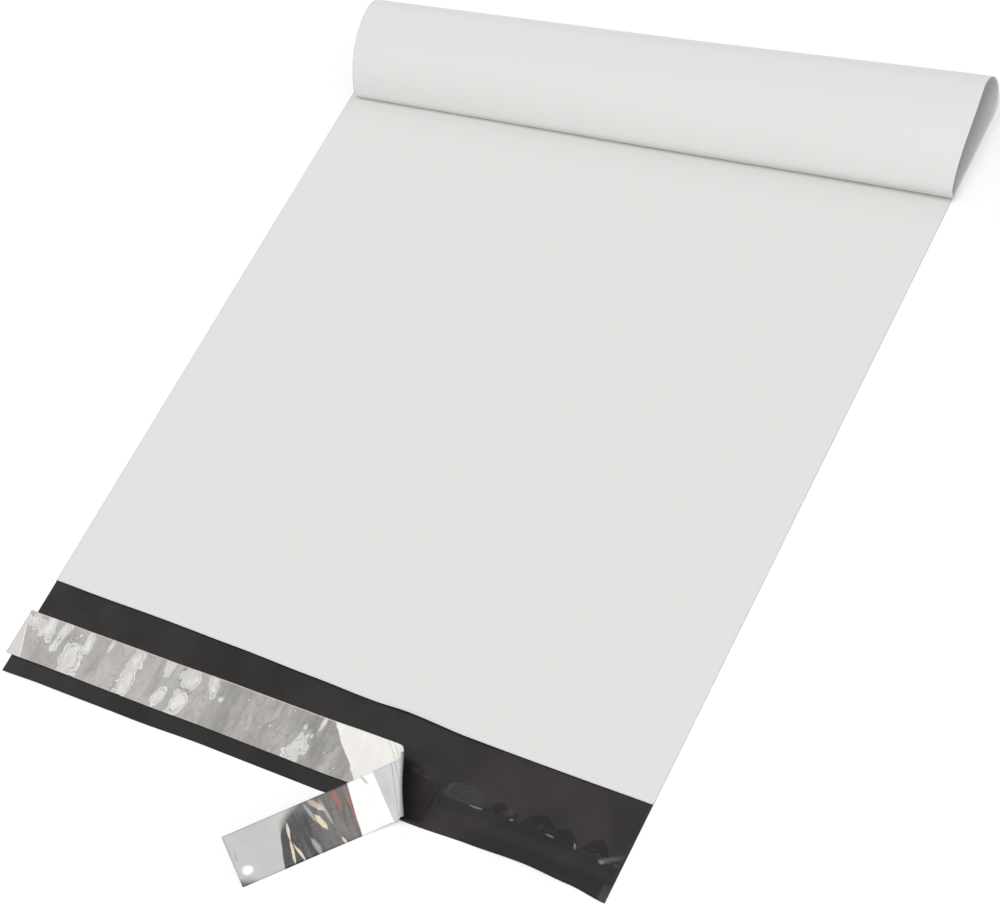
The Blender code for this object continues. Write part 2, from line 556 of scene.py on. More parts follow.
class Curl:
    """Rolls a flat point of the bag into the curl of its closed end."""

    def __init__(self, bag):
        self.bag = bag
        lengths = (curled_length(bag, 0), curled_length(bag, 1))
        skew = math.asin((lengths[0] - lengths[1]) / bag.width)
        self.start = bag.body_length - sum(lengths) / 2 / math.cos(skew)
        self.along = Vector((math.cos(skew), math.sin(skew), 0))
        self.onward = Vector((-math.sin(skew), math.cos(skew), 0))

    def place(self, x, y, z):
        half = self.bag.width / 2
        offset = Vector((x, y - self.start, 0))
        reach = offset.dot(self.onward)
        arcs = curl_arcs(self.bag, x / self.bag.width + 0.5)
        run, rise, turn = follow_arcs(arcs, reach)
        run -= z * math.sin(turn)
        rise += z * math.cos(turn)
        draw = self.bag.heel_draw * ease(reach, *HEEL_DRAW_SPAN) * ease(x, 0.0, half)
        draw += self.bag.tuck_draw * ease(reach, *TUCK_DRAW_SPAN) * ease(x, 0.10, half)
        place = Vector((0, self.start, 0)) + (offset.dot(self.along) - draw) * self.along
        place += run * self.onward
        place.y += self.bag.lag * ease(x, -0.02, 0.20) * ease(y, 0.1, self.start)
        place.z = self.bag.film_thickness / 2 + rise
        return place

    def heel(self, side):
        """The flat y of the heel's end at the left (-1) or right (1) edge."""
        x = side * self.bag.width / 2
        arcs = curl_arcs(self.bag, side / 2 + 0.5)
        length = sum(radius * sweep for radius, sweep in arcs)
        return self.start + (length - x * self.onward.x) / self.onward.y


def bag_film(bag):
    """Points, faces and flat places of the bag's film."""
    curl = Curl(bag)
    half = bag.width / 2
    pitch = bag.pocket_gap + bag.film_thickness
    columns = [-half + step for step in WELD_STEPS]
    columns += stations(-half + WELD_REACH, half - WELD_REACH, COLUMN_STEP)
    columns += [half - step for step in reversed(WELD_STEPS)]
    flap_rows = stations(-bag.flap_length, 0.0, FLAP_STEP)
    body_rows = stations(0.0, MOUTH_REACH, MOUTH_STEP)
    body_rows += stations(MOUTH_REACH, curl.start - CURL_LEAD, BODY_STEP)[1:]
    body_rows += stations(curl.start - CURL_LEAD, bag.body_length, CURL_STEP)[1:]
    width = len(columns)
    points = []
    flats = []

    def add(x, y, z, layer):
        points.append(curl.place(x, y, z))
        flats.append((x, y, layer))

    def raise_front(x, y):
        """The front layer's height over the back layer: soft pillows, and waves at the mouth."""
        inside = min(half - abs(x), 0.030) / 0.030
        pillow = 0.00022 * math.sin(inside * math.pi / 2)
        calm = 1 - ease(y, curl.start - 0.070, curl.start - 0.010)
        wave = noise.noise(Vector((x * 9, y * 7, 3.0))) + 0.5
        pillow += 0.0007 * max(wave, 0.0) * inside * calm
        near = 1 - ease(y, 0.0, 0.045)
        mouth = noise.noise(Vector((x * 22, y * 8, 9.0))) + 0.35
        return pillow * calm + 0.0005 * max(mouth, 0.0) * near * inside

    for y in flap_rows[:-1] + body_rows:
        for x in columns:
            add(x, y + flap_shift(bag, x, y), flap_lift(x, y), 0.0)
    back_rows = len(flap_rows) - 1 + len(body_rows)
    for y in body_rows:
        slide = 1 - ease(y, 0.0, MOUTH_CALM)
        for x in columns:
            add(x, y + knotted(MOUTH_EDGE, x) * slide, pitch + raise_front(x, y), 1.0)

    faces = [tuple(reversed(face)) for face in grid_faces(back_rows, width)]
    front = back_rows * width
    faces += grid_faces(len(body_rows), width, front)
    mouth_row = (len(flap_rows) - 1) * width
    for row in range(len(body_rows) - 1):
        back_left = mouth_row + row * width
        front_left = front + row * width
        faces.append((back_left, front_left, front_left + width, back_left + width))
        back_right = back_left + width - 1
        front_right = front_left + width - 1
        faces.append((front_right, back_right, back_right + width, front_right + width))
    back_last = (back_rows - 1) * width
    front_last = front + (len(body_rows) - 1) * width
    for column in range(width - 1):
        faces.append((
            front_last + column, front_last + column + 1,
            back_last + column + 1, back_last + column,
        ))
    return points, faces, flats


def white_finish(bag):
    finish = Finish("White film", IOR=1.5)
    flat = finish.place()
    x, y = finish.parts(flat)
    broad = finish.noise(flat, 14.0, 3.0)
    fine = finish.noise(flat, 900.0, 2.0)
    shade = (broad - 0.5) * 0.35 + (fine - 0.5) * 0.25 + 0.5
    film = shade.colours(toned(bag.white, 0.975), toned(bag.white, 1.02))
    curl = Curl(bag)
    half = bag.width / 2
    share = x / half * 0.5 + 0.5
    left, right = curl.heel(-1), curl.heel(1)
    heel = share * (right - left) + left
    left, right = curl.place(-half, left, 0).y, curl.place(half, right, 0).y
    contact = share * (right - left) + left
    # Painted shade on the curl's face above its heel, and on the body just in front of where the
    # heel rests.
    near = (heel - y).fall(0.0, 0.026) * (heel - y).rise(-0.004, 0.0)
    near = near.most((contact - y).fall(0.0, 0.030) * (contact - y).rise(-0.004, 0.0))
    film = (near * 0.55).colours(film, toned(bag.white, 0.88))
    # Painted cool tint of the light along the top of the curl.
    painted_crown_tint = (y - curl.start - 0.050).line(0.004, 0.016)
    film = (painted_crown_tint * 0.6).colours(film, toned(bag.white, 0.97, 0.97, 1.03))
    specks = finish.node(
        "ShaderNodeTexVoronoi", {"voronoi_dimensions": "2D"}, {"Vector": flat, "Scale": 19.0}
    )
    specks = specks.fall(0.006, 0.017) * broad.rise(0.48, 0.56)
    film = (specks * 0.16).colours(film, SPECK_COLOUR)
    finish.set(Base_Color=film, Roughness=0.34 + (broad - 0.5) * 0.1)
    finish.bump(fine * 0.5 + finish.noise(flat, 60.0, 3.0), 0.00006)
    return finish


def black_film_and_painted_sheen(finish, bag, flat, x, y):
    """The black film's colour: soft clouds, and a painted purplish sheen to the right."""
    front = y.fall(-0.0440, -0.0380) * x.rise(0.085, 0.125)
    clouds = finish.noise(flat, 26.0, 3.0) - front * 0.14
    wide = finish.noise(flat, 9.0, 2.0)
    # Painted sheen to the right, held back along the front strip, where the clouds are darker too.
    right = x.rise(0.0, 0.11) * (1 - front)
    shade = clouds.rise(0.38, 0.62) * 0.5 + wide.rise(0.35, 0.6) * right * 0.5
    return shade.colours(toned(bag.black, 0.75), toned(bag.black, 2.8, 3.2, 3.9))


def black_finish(bag):
    finish = Finish("Black film", IOR=1.5, Specular_IOR_Level=0.3)
    flat = finish.place()
    x, y = finish.parts(flat)
    clouds = finish.noise(flat, 26.0, 3.0)
    # The black film's colour with its painted sheen.
    colour = black_film_and_painted_sheen(finish, bag, flat, x, y)
    corner = x.rise(0.1785, 0.1810) * y.fall(-0.0450, -0.0415) * clouds.rise(0.2, 0.6)
    colour = (corner * 0.5).colours(colour, CORNER_COLOUR)
    finish.set(Base_Color=colour, Roughness=0.3 + (clouds - 0.5) * 0.12)
    finish.bump(finish.noise(flat, 500.0, 2.0) * 0.4 + finish.noise(flat, 70.0, 3.0), 0.00008)
    return finish


def edge_finish():
    return Finish("Cut edge", Base_Color=CUT_COLOUR, Roughness=0.5)


class MAILER_OT_make_bag(bpy.types.Operator):
    """Make the bag: one folded film, white outside and black inside"""

    bl_idname = "mailer.make_bag"
    bl_label = "Make bag"

    def execute(self, context):
        bag = context.scene.mailer_bag
        points, faces, flats = bag_film(bag)
        obj = sheet_object(
            "mailer_film", points, faces, flats,
            (white_finish(bag), black_finish(bag), edge_finish()), bag.film_thickness,
            material_offset=1, material_offset_rim=2,
        )
        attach(obj, "root")
        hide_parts("bag")
        return {"FINISHED"}


# Adhesive

RIDGE_LINE = -0.0336
# Middle, reach and height of each wrinkle above the ridge line, which carries a painted dark
# reflection.
MOUNDS = (
    (0.1165, 0.0080, 0.0060), (0.1235, 0.0050, 0.0050), (0.1385, 0.0100, 0.0078),
    (0.1520, 0.0085, 0.0056), (0.1690, 0.0072, 0.0068),
)
# Middle, place along the flap, reach, spread and tilt of each painted glint.
GLINTS = (
    (0.1055, -0.0334, 0.0046, 0.0005, 0.0), (0.1248, -0.0334, 0.0014, 0.0006, 0.0),
    (0.1459, -0.0341, 0.0024, 0.0005, 0.0), (0.1593, -0.0340, 0.0007, 0.0017, -0.3),
    (0.1737, -0.0354, 0.0018, 0.0012, 0.0),
)
# The same for faint lines, painted highlights along folds in the adhesive.
FAINT_LINES = (
    (0.0818, -0.0324, 0.0004, 0.0030, -0.6), (0.0857, -0.0312, 0.0004, 0.0038, 0.0),
    (0.1225, -0.0300, 0.0030, 0.0036, 0.2), (0.1397, -0.0305, 0.0005, 0.0038, 0.15),
    (0.0880, -0.0300, 0.0006, 0.0032, -0.5), (0.0985, -0.0327, 0.0085, 0.0005, 0.0),
)

# Middle, place along the flap, reach, spread and share of the full height.
RIDGES = (
    (0.099, -0.0290, 0.011, 0.0036, 0.9), (0.112, -0.0325, 0.006, 0.0030, 1.2),
    (0.1205, -0.0318, 0.003, 0.0024, 1.0), (0.1275, -0.0332, 0.0036, 0.0020, 0.9),
    (0.145, -0.0330, 0.006, 0.0022, 0.9), (0.158, -0.0328, 0.0035, 0.0020, 0.8),
    (0.170, -0.0324, 0.004, 0.0022, 1.0),
)
BARE_START = 0.055
STUCK_STEP = 0.004
BARE_STEP = 0.0008
EDGE_REACH = 0.003
MOUND_REFLECTION_COLOUR = (0.0055, 0.0030, 0.0018)
LOBE_COLOUR = (0.042, 0.037, 0.043)
MARK_COLOUR = (0.10, 0.09, 0.085)
GLINT_COLOUR = (0.22, 0.21, 0.19)


def adhesive_height(x, y, ridge):
    """Height of the wrinkles in the bare part, from the flat place on the flap."""
    bare = ease(x, 0.060, 0.068)
    line = -0.0332 + 0.0008 * noise.noise(Vector((x * 60, 0.0, 5.0)))
    crest = bell(y, line, 0.0016) * ease(x, 0.080, 0.092)
    crest *= 0.55 + 0.6 * noise.noise(Vector((x * 110, 2.0, 7.0)))
    height = max(crest, 0.0)
    for middle, place, reach, spread, tall in RIDGES:
        across = math.hypot((x - middle) / reach, (y - place) / spread)
        height = max(height, tall * bell(across, 0.0, 1.0))
    upright = max(noise.noise(Vector((x * 420, y * 40, 1.0))), 0.0)
    height += 0.5 * upright * bell(x, 0.0835, 0.005)
    height += 0.12 * max(noise.noise(Vector((x * 90, y * 160, 4.0))), 0.0)
    return ridge * bare * height


def adhesive_film(bag, adhesive, liner):
    half = bag.width / 2 - adhesive.end_margin
    front = -bag.flap_length + liner.setback + (liner.width - adhesive.width) / 2
    base = bag.film_thickness + adhesive.thickness / 2
    columns = stations(-half, BARE_START, STUCK_STEP)
    columns += stations(BARE_START, half, BARE_STEP)[1:]
    rows = stations(front, front + adhesive.width, BARE_STEP)
    points = []
    flats = []
    for y in rows:
        for x in columns:
            edge = bell(y, front, EDGE_REACH) + bell(y, front + adhesive.width, EDGE_REACH)
            edge += bell(x, -half, EDGE_REACH) + bell(x, half, EDGE_REACH)
            inside = max(1 - edge, 0.0)
            lift = adhesive_height(x, y, adhesive.ridge_height) * inside
            lift += flap_lift(x, y) + adhesive.thickness * (1.5 * inside - 1.15)
            points.append((x, y + flap_shift(bag, x, y), base + lift))
            flats.append((x, y, lift))
    return points, grid_faces(len(rows), len(columns)), flats


def adhesive_finish(bag, adhesive, liner):
    finish = Finish("Adhesive", IOR=1.5, Specular_IOR_Level=0.3)
    flat = finish.place()
    x, y = finish.parts(flat)
    clouds = finish.noise(flat, 26.0, 3.0)
    fine = finish.noise(flat, 420.0, 3.0)
    middling = finish.noise(flat, 170.0, 2.0)
    wander = finish.noise(flat, (60.0, 30.0), 2.0) - 0.5
    above = y - RIDGE_LINE - wander * 0.0022
    tops = None
    for middle, reach, tall in MOUNDS:
        part = (x - middle) / reach
        top = (1 - part * part) * tall
        tops = top if tops is None else tops.most(top)
    tops = tops + (middling - 0.5) * 0.0024
    mound = above.rise(-0.0004, 0.0003) * (above - tops).fall(-0.0001, 0.0011)
    lobe = ((x - 0.0972) / 0.0105) ** 4.0 + ((y + 0.0287) / 0.0040) ** 4.0
    lobe = lobe + wander * 1.6 + (middling - 0.5) * 0.8
    inside = lobe.fall(0.5, 1.3)
    rim = (lobe - 1.0).line(0.05, 0.45) * x.fall(0.094, 0.106) * (0.3 + fine)
    smudge = ovals(x, y, ((0.0666, -0.0262, 0.0034, 0.0022), (0.0745, -0.0272, 0.0050, 0.0013)))
    smudge = (smudge + (middling - 0.5) * 2.2).rise(0.1, 0.9)
    faint = (ovals(x, y, FAINT_LINES) + (fine - 0.5)).rise(0.0, 0.7)
    glint = (ovals(x, y, GLINTS) + (fine - 0.5)).rise(-0.05, 0.5)
    # A painted band of highlight running up to the strip's right end.
    drift = (y + 0.0358) - (x - 0.1728) * 0.66
    painted_highlight_band = drift.line(0.0001, 0.0023) * x.rise(0.1720, 0.1745)
    painted_highlight_band = painted_highlight_band * (1 - x.rise(0.1740, 0.1850) * 0.75)
    edge = abs(y + bag.flap_length - liner.setback - liner.width / 2) - adhesive.width / 2
    border = edge.rise(-0.0045, -0.0008)
    # Soft clouds, a painted purplish sheen above the ridge line, and a painted light reflection of
    # the liner next to its fold.
    shade = clouds.rise(0.38, 0.62) * 0.5 + above.rise(-0.002, 0.003) * x.rise(0.05, 0.11) * 0.55
    shade = shade + x.fall(0.054, 0.090) * 1.6
    colour = shade.colours(toned(adhesive.colour, 0.75), toned(adhesive.colour, 3.0, 3.4, 4.1))
    # Painted dark reflection on the wrinkles above the ridge line.
    colour = (mound * 0.9).colours(colour, MOUND_REFLECTION_COLOUR)
    colour = (inside * (0.25 + middling) * 0.5).colours(colour, LOBE_COLOUR)
    # Lighter marks: the lobe's rim, smudges, and faint lines that are painted highlights along
    # folds.
    light = (rim * 0.32).most(smudge * 0.3).most(faint * 0.3)
    colour = light.colours(colour, MARK_COLOUR)
    # Painted glints and the painted highlight band.
    colour = (glint.most(painted_highlight_band * 0.55) * (0.5 + fine * 0.6)).colours(colour, GLINT_COLOUR)
    # Near its edges the strip fades into the black film's colour and painted sheen.
    colour = border.colours(colour, black_film_and_painted_sheen(finish, bag, flat, x, y))
    finish.set(Base_Color=colour, Roughness=0.3 + (clouds - 0.5) * 0.12)
    finish.bump((fine * 0.2 + middling + mound * 1.5) * (1 - border), 0.00012)
    return finish


class MAILER_OT_make_adhesive(bpy.types.Operator):
    """Make the strip of adhesive, wrinkled where the liner was peeled off"""

    bl_idname = "mailer.make_adhesive"
    bl_label = "Make adhesive"

    def execute(self, context):
        scene = context.scene
        adhesive = scene.mailer_adhesive
        films = scene.mailer_bag, adhesive, scene.mailer_liner
        points, faces, flats = adhesive_film(*films)
        finish = adhesive_finish(*films)
        obj = sheet_object(
            "adhesive_layer", points, faces, flats, (finish,), adhesive.thickness
        )
        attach(obj, "root")
        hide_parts("adhesive_strip")
        return {"FINISHED"}


# Liner

PEEL, LIFT, FOLD, RIM, CREASE = range(5)
# How far the strip's front corner is pushed at the fold.
FLARE = (0.0003, -0.0018, -0.0045)
FLARE_REACH = (0.012, 0.017)
LINER_STEPS = (0.0009, 0.00085)


def bent(point, flat, liner, bend):
    """A point of the liner after one of its bends, from its flat place."""
    angle = abs(liner.bend_turns[bend])
    side = math.copysign(1.0, liner.bend_turns[bend])
    direction = liner.bend_directions[bend]
    radius = liner.bend_radii[bend]
    origin = Vector((liner.peel_place + liner.bend_places[bend], liner.width / 2, 0))
    onward = Vector((-math.sin(direction), math.cos(direction), 0))
    offset = point - origin
    distance = offset.dot(onward)
    turn = min(max((flat - origin).dot(onward) / radius, 0.0), angle)
    over = distance - radius * turn
    height = offset.z * side
    along = offset - distance * onward
    run = radius * math.sin(turn) + over * math.cos(turn) - height * math.sin(turn)
    place = origin + along + run * onward
    rise = radius * (1 - math.cos(turn)) + over * math.sin(turn) + height * math.cos(turn)
    place.z = side * rise
    return place


# Middle, place across the strip, reach, spread and tilt of each patch or streak.
PATCHES = (
    (-0.1765, 0.0200, 0.0090, 0.0050, -0.9), (-0.1700, 0.0200, 0.0040, 0.0080, -0.3),
    (-0.1615, 0.0107, 0.0022, 0.0022, 0.0), (-0.1598, 0.0205, 0.0034, 0.0078, 0.1),
    (-0.1480, 0.0080, 0.0072, 0.0110, -0.15), (-0.1420, 0.0205, 0.0024, 0.0068, -0.1),
    (-0.1284, 0.0222, 0.0012, 0.0046, 0.0), (-0.1093, 0.0125, 0.0046, 0.0180, 0.02),
    (-0.0885, 0.0215, 0.0030, 0.0060, 0.0), (-0.0860, 0.0060, 0.0036, 0.0056, 0.1),
    (-0.0740, 0.0210, 0.0056, 0.0064, 0.1), (-0.0740, 0.0070, 0.0054, 0.0076, 0.0),
    (-0.0600, 0.0215, 0.0030, 0.0064, -0.4), (-0.0512, 0.0155, 0.0015, 0.0013, 0.0),
    (0.0020, 0.0055, 0.0052, 0.0086, 0.15), (0.0094, 0.0212, 0.0010, 0.0050, 0.1),
    (0.0012, 0.0177, 0.0010, 0.0012, 0.0), (0.0070, 0.0147, 0.0009, 0.0014, 0.0),
)
# Place along the tail, place across the strip, reach, spread and tilt of each streak in the tail's
# painted reflection.
FLAMES = (
    (0.0333, 0.0155, 0.0010, 0.0052, -0.14), (0.0346, 0.0060, 0.0009, 0.0072, -0.12),
    (0.0317, 0.0046, 0.0009, 0.0064, 0.28), (0.0170, 0.0136, 0.0018, 0.0050, 0.40),
    (0.0172, 0.0222, 0.0020, 0.0046, 0.75), (0.0098, 0.0012, 0.0008, 0.0026, 0.31),
)
GREY_FLAMES = (
    (0.0230, 0.0034, 0.0024, 0.0058, 0.21), (0.0130, 0.0160, 0.0010, 0.0090, 0.2),
    (0.0205, 0.0190, 0.0012, 0.0060, 0.3),
)
RED_FLAMES = (
    (0.0064, 0.0205, 0.0026, 0.0072, 0.10), (0.0012, 0.0110, 0.0010, 0.0150, -0.02),
)
PATCH_DIM = (0.64, 0.625, 0.595)
PATCH_BRIGHT = (0.80, 0.79, 0.77)
PATCH_WARM = (0.66, 0.57, 0.52)
PATCH_HALO = (0.48, 0.47, 0.45)
PATCH_OUTLINE = (0.20, 0.19, 0.18)
RIPPLE_COLOUR = (0.17, 0.165, 0.155)
SPARKLE_COLOUR = (0.88, 0.87, 0.90)
# Colours of the tail's painted reflection: its streaks, dark and light tones, and a bright spot.
FLAME_COLOUR = (0.72, 0.60, 0.45)
GREY_FLAME_COLOUR = (0.42, 0.43, 0.46)
RED_FLAME_COLOUR = (0.30, 0.10, 0.07)
TAIL_BLACK = (0.004, 0.004, 0.0045)
TAIL_GREY = (0.155, 0.145, 0.135)
TAIL_LIGHT = (0.475, 0.472, 0.463), (0.52, 0.517, 0.507)
SPOT_COLOUR = (0.98, 0.98, 0.97)
# Painted light and shade of the folded-back panel, and painted shade along its creases.
PANEL_LIGHT = (0.56, 0.56, 0.575), (0.66, 0.66, 0.675)
PANEL_SHADE = (0.15, 0.15, 0.155)
PANEL_CREASE_SHADE = (0.26, 0.26, 0.265)
# Painted light on the facet between the rim and the crease.
LIT_FACET_COLOUR = (0.97, 0.97, 0.96)


def blades(x, y, spots):
    """The highest of several leaf shapes, each 1 in its middle and pointed at both ends."""
    fields = []
    for middle, place, reach, spread, tilt in spots:
        across = abs(x - middle - (y - place) * tilt) / reach
        along = (y - place) / spread
        fields.append(1 - across - along * along)
    return functools.reduce(Value.most, fields)


def patch_height(x, y):
    """1 on a loose patch of the stuck part and 0 away from it."""
    return ease(max(oval(x, y, *patch) for patch in PATCHES), -0.2, 0.6)


def liner_film(bag, liner):
    peeled_end = liner.peel_place + liner.peeled_length
    start = -bag.width / 2 - liner.overhang
    columns = stations(start, peeled_end, LINER_STEPS[0])
    rows = stations(0.0, liner.width, LINER_STEPS[1])
    base = bag.film_thickness + 2 * SEAT_GAP + liner.thickness / 2
    points = []
    flats = []
    for y in rows:
        for step in columns:
            slant = liner.cut_slant * (y / liner.width - 0.5)
            x = step + slant * ease(step, liner.peel_place, peeled_end)
            stuck = 1 - ease(x, liner.peel_place - 0.010, liner.peel_place)
            ripple = noise.noise(Vector((x * 260, y * 45, 2.0)))
            ripple += 0.6 * noise.noise(Vector((x * 120, y * 20, 8.0)))
            height = 0.00016 * (0.7 + ripple) * stuck
            height += 0.00030 * patch_height(x, y) * stuck
            free = 1 - stuck
            height += 0.00012 * free * noise.noise(Vector((x * 60, y * 25, 5.0)))
            flat = Vector((x, y, 0))
            place = Vector((x, y, max(height, 0.0) if stuck > 0 else height))
            for bend in (CREASE, RIM, FOLD, LIFT, PEEL):
                place = bent(place, flat, liner, bend)
            past = x - liner.peel_place - liner.bend_places[FOLD] - 0.0045
            flare = bell(past, 0.0, FLARE_REACH[0]) * bell(y, -0.002, FLARE_REACH[1])
            place += Vector(FLARE) * flare
            ground = Vector((place.x, place.y + liner.setback - bag.flap_length, 0))
            follow = 1 - ease(place.z, 0.0005, 0.003)
            ground.y += knotted(FLAP_EDGE, ground.x) * 0.5 * follow
            ground.z = base + place.z + flap_lift(ground.x, ground.y) * follow
            points.append(ground)
            flats.append((x, y, height))
    return points, grid_faces(len(rows), len(columns)), flats


def stuck_colour(finish, liner, flat, x, y):
    """The liner over the adhesive: grey in soft bands, with pale outlined loose patches."""
    bands = finish.noise(flat, (75.0, 16.0), 2.0, 0.6)
    clouds = finish.noise(flat, (150.0, 90.0), 3.0, 1.0)
    streaks = finish.noise(flat, (600.0, 45.0), 2.0)
    coarse = finish.noise(flat, (150.0, 95.0), 1.0) - 0.5
    medium = finish.noise(flat, (290.0, 210.0), 1.0) - 0.5
    small = finish.noise(flat, (480.0, 360.0), 1.0) - 0.5
    field = ovals(x, y, PATCHES) + coarse * 1.3 + medium * 1.1 + small * 0.2 + 0.22
    left = x.fall(-0.075, -0.045)
    shade = bands * 0.6 + clouds * 0.4 + streaks * 0.2 - 0.1 + left * 0.12
    grey = shade.rise(0.28, 0.80).colours(toned(liner.colour, 0.70), toned(liner.colour, 1.45))
    pale = clouds.rise(0.35, 0.7).colours(PATCH_DIM, PATCH_BRIGHT)
    pale = (small * 1.6 + 0.1).rise(0.2, 0.6).colours(pale, PATCH_WARM)
    stuck = (field.rise(-0.50, 0.0) * 0.55).colours(grey, PATCH_HALO)
    stuck = field.rise(0.0, 0.14).colours(stuck, pale)
    outline = (field - 0.13).line(0.02, 0.09)
    inner = (field - 0.50).line(0.01, 0.06) * clouds.rise(0.36, 0.5)
    stuck = (outline.most(inner) * 0.7).colours(stuck, PATCH_OUTLINE)
    ripple = (coarse + small * 0.4).line(0.004, 0.03) * bands.rise(0.5, 0.62)
    stuck = (ripple * 0.35).colours(stuck, RIPPLE_COLOUR)
    sparkle = small.rise(0.23, 0.27) * bands.rise(0.42, 0.56)
    return (sparkle * 0.7).colours(stuck, SPARKLE_COLOUR)


def tail_painted_reflection(finish, liner, flat, x, y):
    """The free end: a painted reflection, dark with pale streaks, and light grey towards the cut.
    """
    run = x - liner.peel_place - liner.bend_places[CREASE]
    bend = finish.noise(flat, (95.0, 60.0), 2.0) - 0.5
    flames = finish.noise(flat, (260.0, 50.0), 1.5, 1.0)
    fine = finish.noise(flat, (60.0, 1100.0), 2.0)
    shape = (flames - 0.5) * 1.1 + bend * 0.5
    middling = run.fall(0.013, 0.027).most(y.rise(0.015, 0.025))
    shade = middling * 0.50 + shape * 1.1 + (fine - 0.5) * 0.5 + 0.14
    dark = shade.rise(0.0, 1.0).colours(TAIL_BLACK, TAIL_GREY)
    red = (blades(run, y, RED_FLAMES) + shape * 1.4).rise(0.0, 0.5)
    dark = (red * 0.8).colours(dark, RED_FLAME_COLOUR)
    grey = (blades(run, y, GREY_FLAMES) + shape).rise(0.0, 0.7)
    dark = (grey * 0.7).colours(dark, GREY_FLAME_COLOUR)
    cream = (blades(run, y, FLAMES) + shape * 1.3).rise(0.0, 0.5)
    dark = (cream * (1 - y.rise(0.017, 0.023) * 0.5)).colours(dark, FLAME_COLOUR)
    edge = run - 0.0408 + y * 0.22 + (y / liner.width) ** 8.0 * 0.009 + bend * 0.003
    soft = 0.0004 + y.rise(0.014, 0.025) * 0.005
    rim = (edge + 0.0010).line(0.0002, 0.0014) * y.fall(0.014, 0.022)
    dark = (rim * 0.8).colours(dark, (0.014, 0.014, 0.015))
    light = (bend + 0.5).rise(0.3, 0.8).colours(*TAIL_LIGHT)
    corner = oval(run, y, 0.0640, -0.0010, 0.0125, 0.0062, 0.3)
    light = (corner.rise(0.0, 0.7) * 0.9).colours(light, (0.06, 0.06, 0.06))
    streak = oval(run, y, 0.0611, 0.0148, 0.0008, 0.0046, -0.1)
    light = (streak.rise(0.0, 0.7) * 0.35).colours(light, (0.22, 0.22, 0.22))
    spot = oval(run, y, 0.0578, 0.0064, 0.0032, 0.0027)
    light = (spot + bend * 1.2).rise(-0.1, 0.5).colours(light, SPOT_COLOUR)
    return (edge / soft).rise(-1.0, 1.0).colours(dark, light)


def liner_finish(liner):
    finish = Finish("Release liner", IOR=1.5, Specular_IOR_Level=0.3)
    flat = finish.place()
    x, y = finish.parts(flat)
    across = y - liner.width / 2
    ragged = finish.noise(flat, 420.0, 2.0) - 0.5
    wavy = finish.noise(flat, 130.0, 1.0) - 0.5
    soft = finish.noise(flat, (60.0, 40.0), 2.0)
    stuck = stuck_colour(finish, liner, flat, x, y)
    end = x + y * 0.42 + ragged * 0.0006
    wedge = (end + 0.1780).line(0.0001, 0.0005)
    stuck = end.fall(-0.1784, -0.1776).colours(stuck, (0.68, 0.66, 0.64))
    stuck = (wedge * 0.8).colours(stuck, (0.95, 0.94, 0.92))
    lit_edge = y.rise(liner.width - 0.0007, liner.width - 0.0003)
    stuck = (lit_edge * 0.7).colours(stuck, (0.86, 0.74, 0.66))
    lifted = soft.rise(0.3, 0.7).colours(liner.lifted_colour, toned(liner.lifted_colour, 1.15))
    left = x - liner.peel_place + across * 1.1 + wavy * 0.006 + ragged * 0.0018
    colour = left.rise(0.0016, 0.0024).colours(stuck, lifted)
    fold, crease = (
        x - liner.peel_place - liner.bend_places[bend]
        - across / math.tan(liner.bend_directions[bend])
        for bend in (FOLD, CREASE)
    )
    past = x - liner.peel_place - liner.bend_places[RIM]
    # Painted light and shade on the folded-back panel, darkest next to the fold.
    panel = soft.rise(0.3, 0.7).colours(*PANEL_LIGHT)
    panel = (fold.fall(0.0002, 0.0034) * 0.8).colours(panel, PANEL_SHADE)
    colour = fold.rise(-0.0002, 0.0004).colours(colour, panel)
    # Painted shade along creases, before the fold and past the rim.
    lines = (
        fold + across * 0.6 + 0.0162, fold + across * 0.6 + 0.0122,
        past + across * 0.222 - 0.0053, past + across * 0.096 - 0.0018,
    )
    for place in lines:
        line = (place + ragged * 0.0012).line(0.0001, 0.0004)
        colour = (line * 0.55).colours(colour, PANEL_CREASE_SHADE)
    # Painted light on the facet between the rim and the crease.
    colour = (past - across * 0.061).rise(0.0115, 0.0121).colours(colour, LIT_FACET_COLOUR)
    nick = oval(past, y, 0.0180, 0.0235, 0.0008, 0.0032, 0.45).rise(0.0, 0.5)
    colour = (nick * 0.8).colours(colour, (0.42, 0.42, 0.42))
    # The free end past the crease carries the painted reflection.
    tail = tail_painted_reflection(finish, liner, flat, x, y)
    colour = crease.rise(0.0, 0.0006).colours(colour, tail)
    stretch = finish.noise(flat, (260.0, 40.0), 3.0) * left.fall(0.004, 0.012)
    finish.set(Base_Color=colour, Roughness=0.16 + soft * 0.12)
    finish.bump(stretch + ragged * 0.1, 0.00012)
    return finish


class MAILER_OT_make_liner(bpy.types.Operator):
    """Make the release liner, stuck down on the left and peeled back on the right"""

    bl_idname = "mailer.make_liner"
    bl_label = "Make liner"

    def execute(self, context):
        scene = context.scene
        liner = scene.mailer_liner
        points, faces, flats = liner_film(scene.mailer_bag, liner)
        obj = sheet_object(
            "peeled_liner", points, faces, flats, (liner_finish(liner),), liner.thickness
        )
        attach(obj, "root")
        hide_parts("release_liner")
        return {"FINISHED"}


# Stage

FLOOR_REACH = 6.0
FLOOR_DEPTH = 0.0002
WHITE_LEVEL = 1.02
LAMP_PLACE = (0.35, -0.30, 1.9)
LAMP_AIM = (0.0, 0.15, 0.0)
LAMP_ANGLE = math.radians(45)


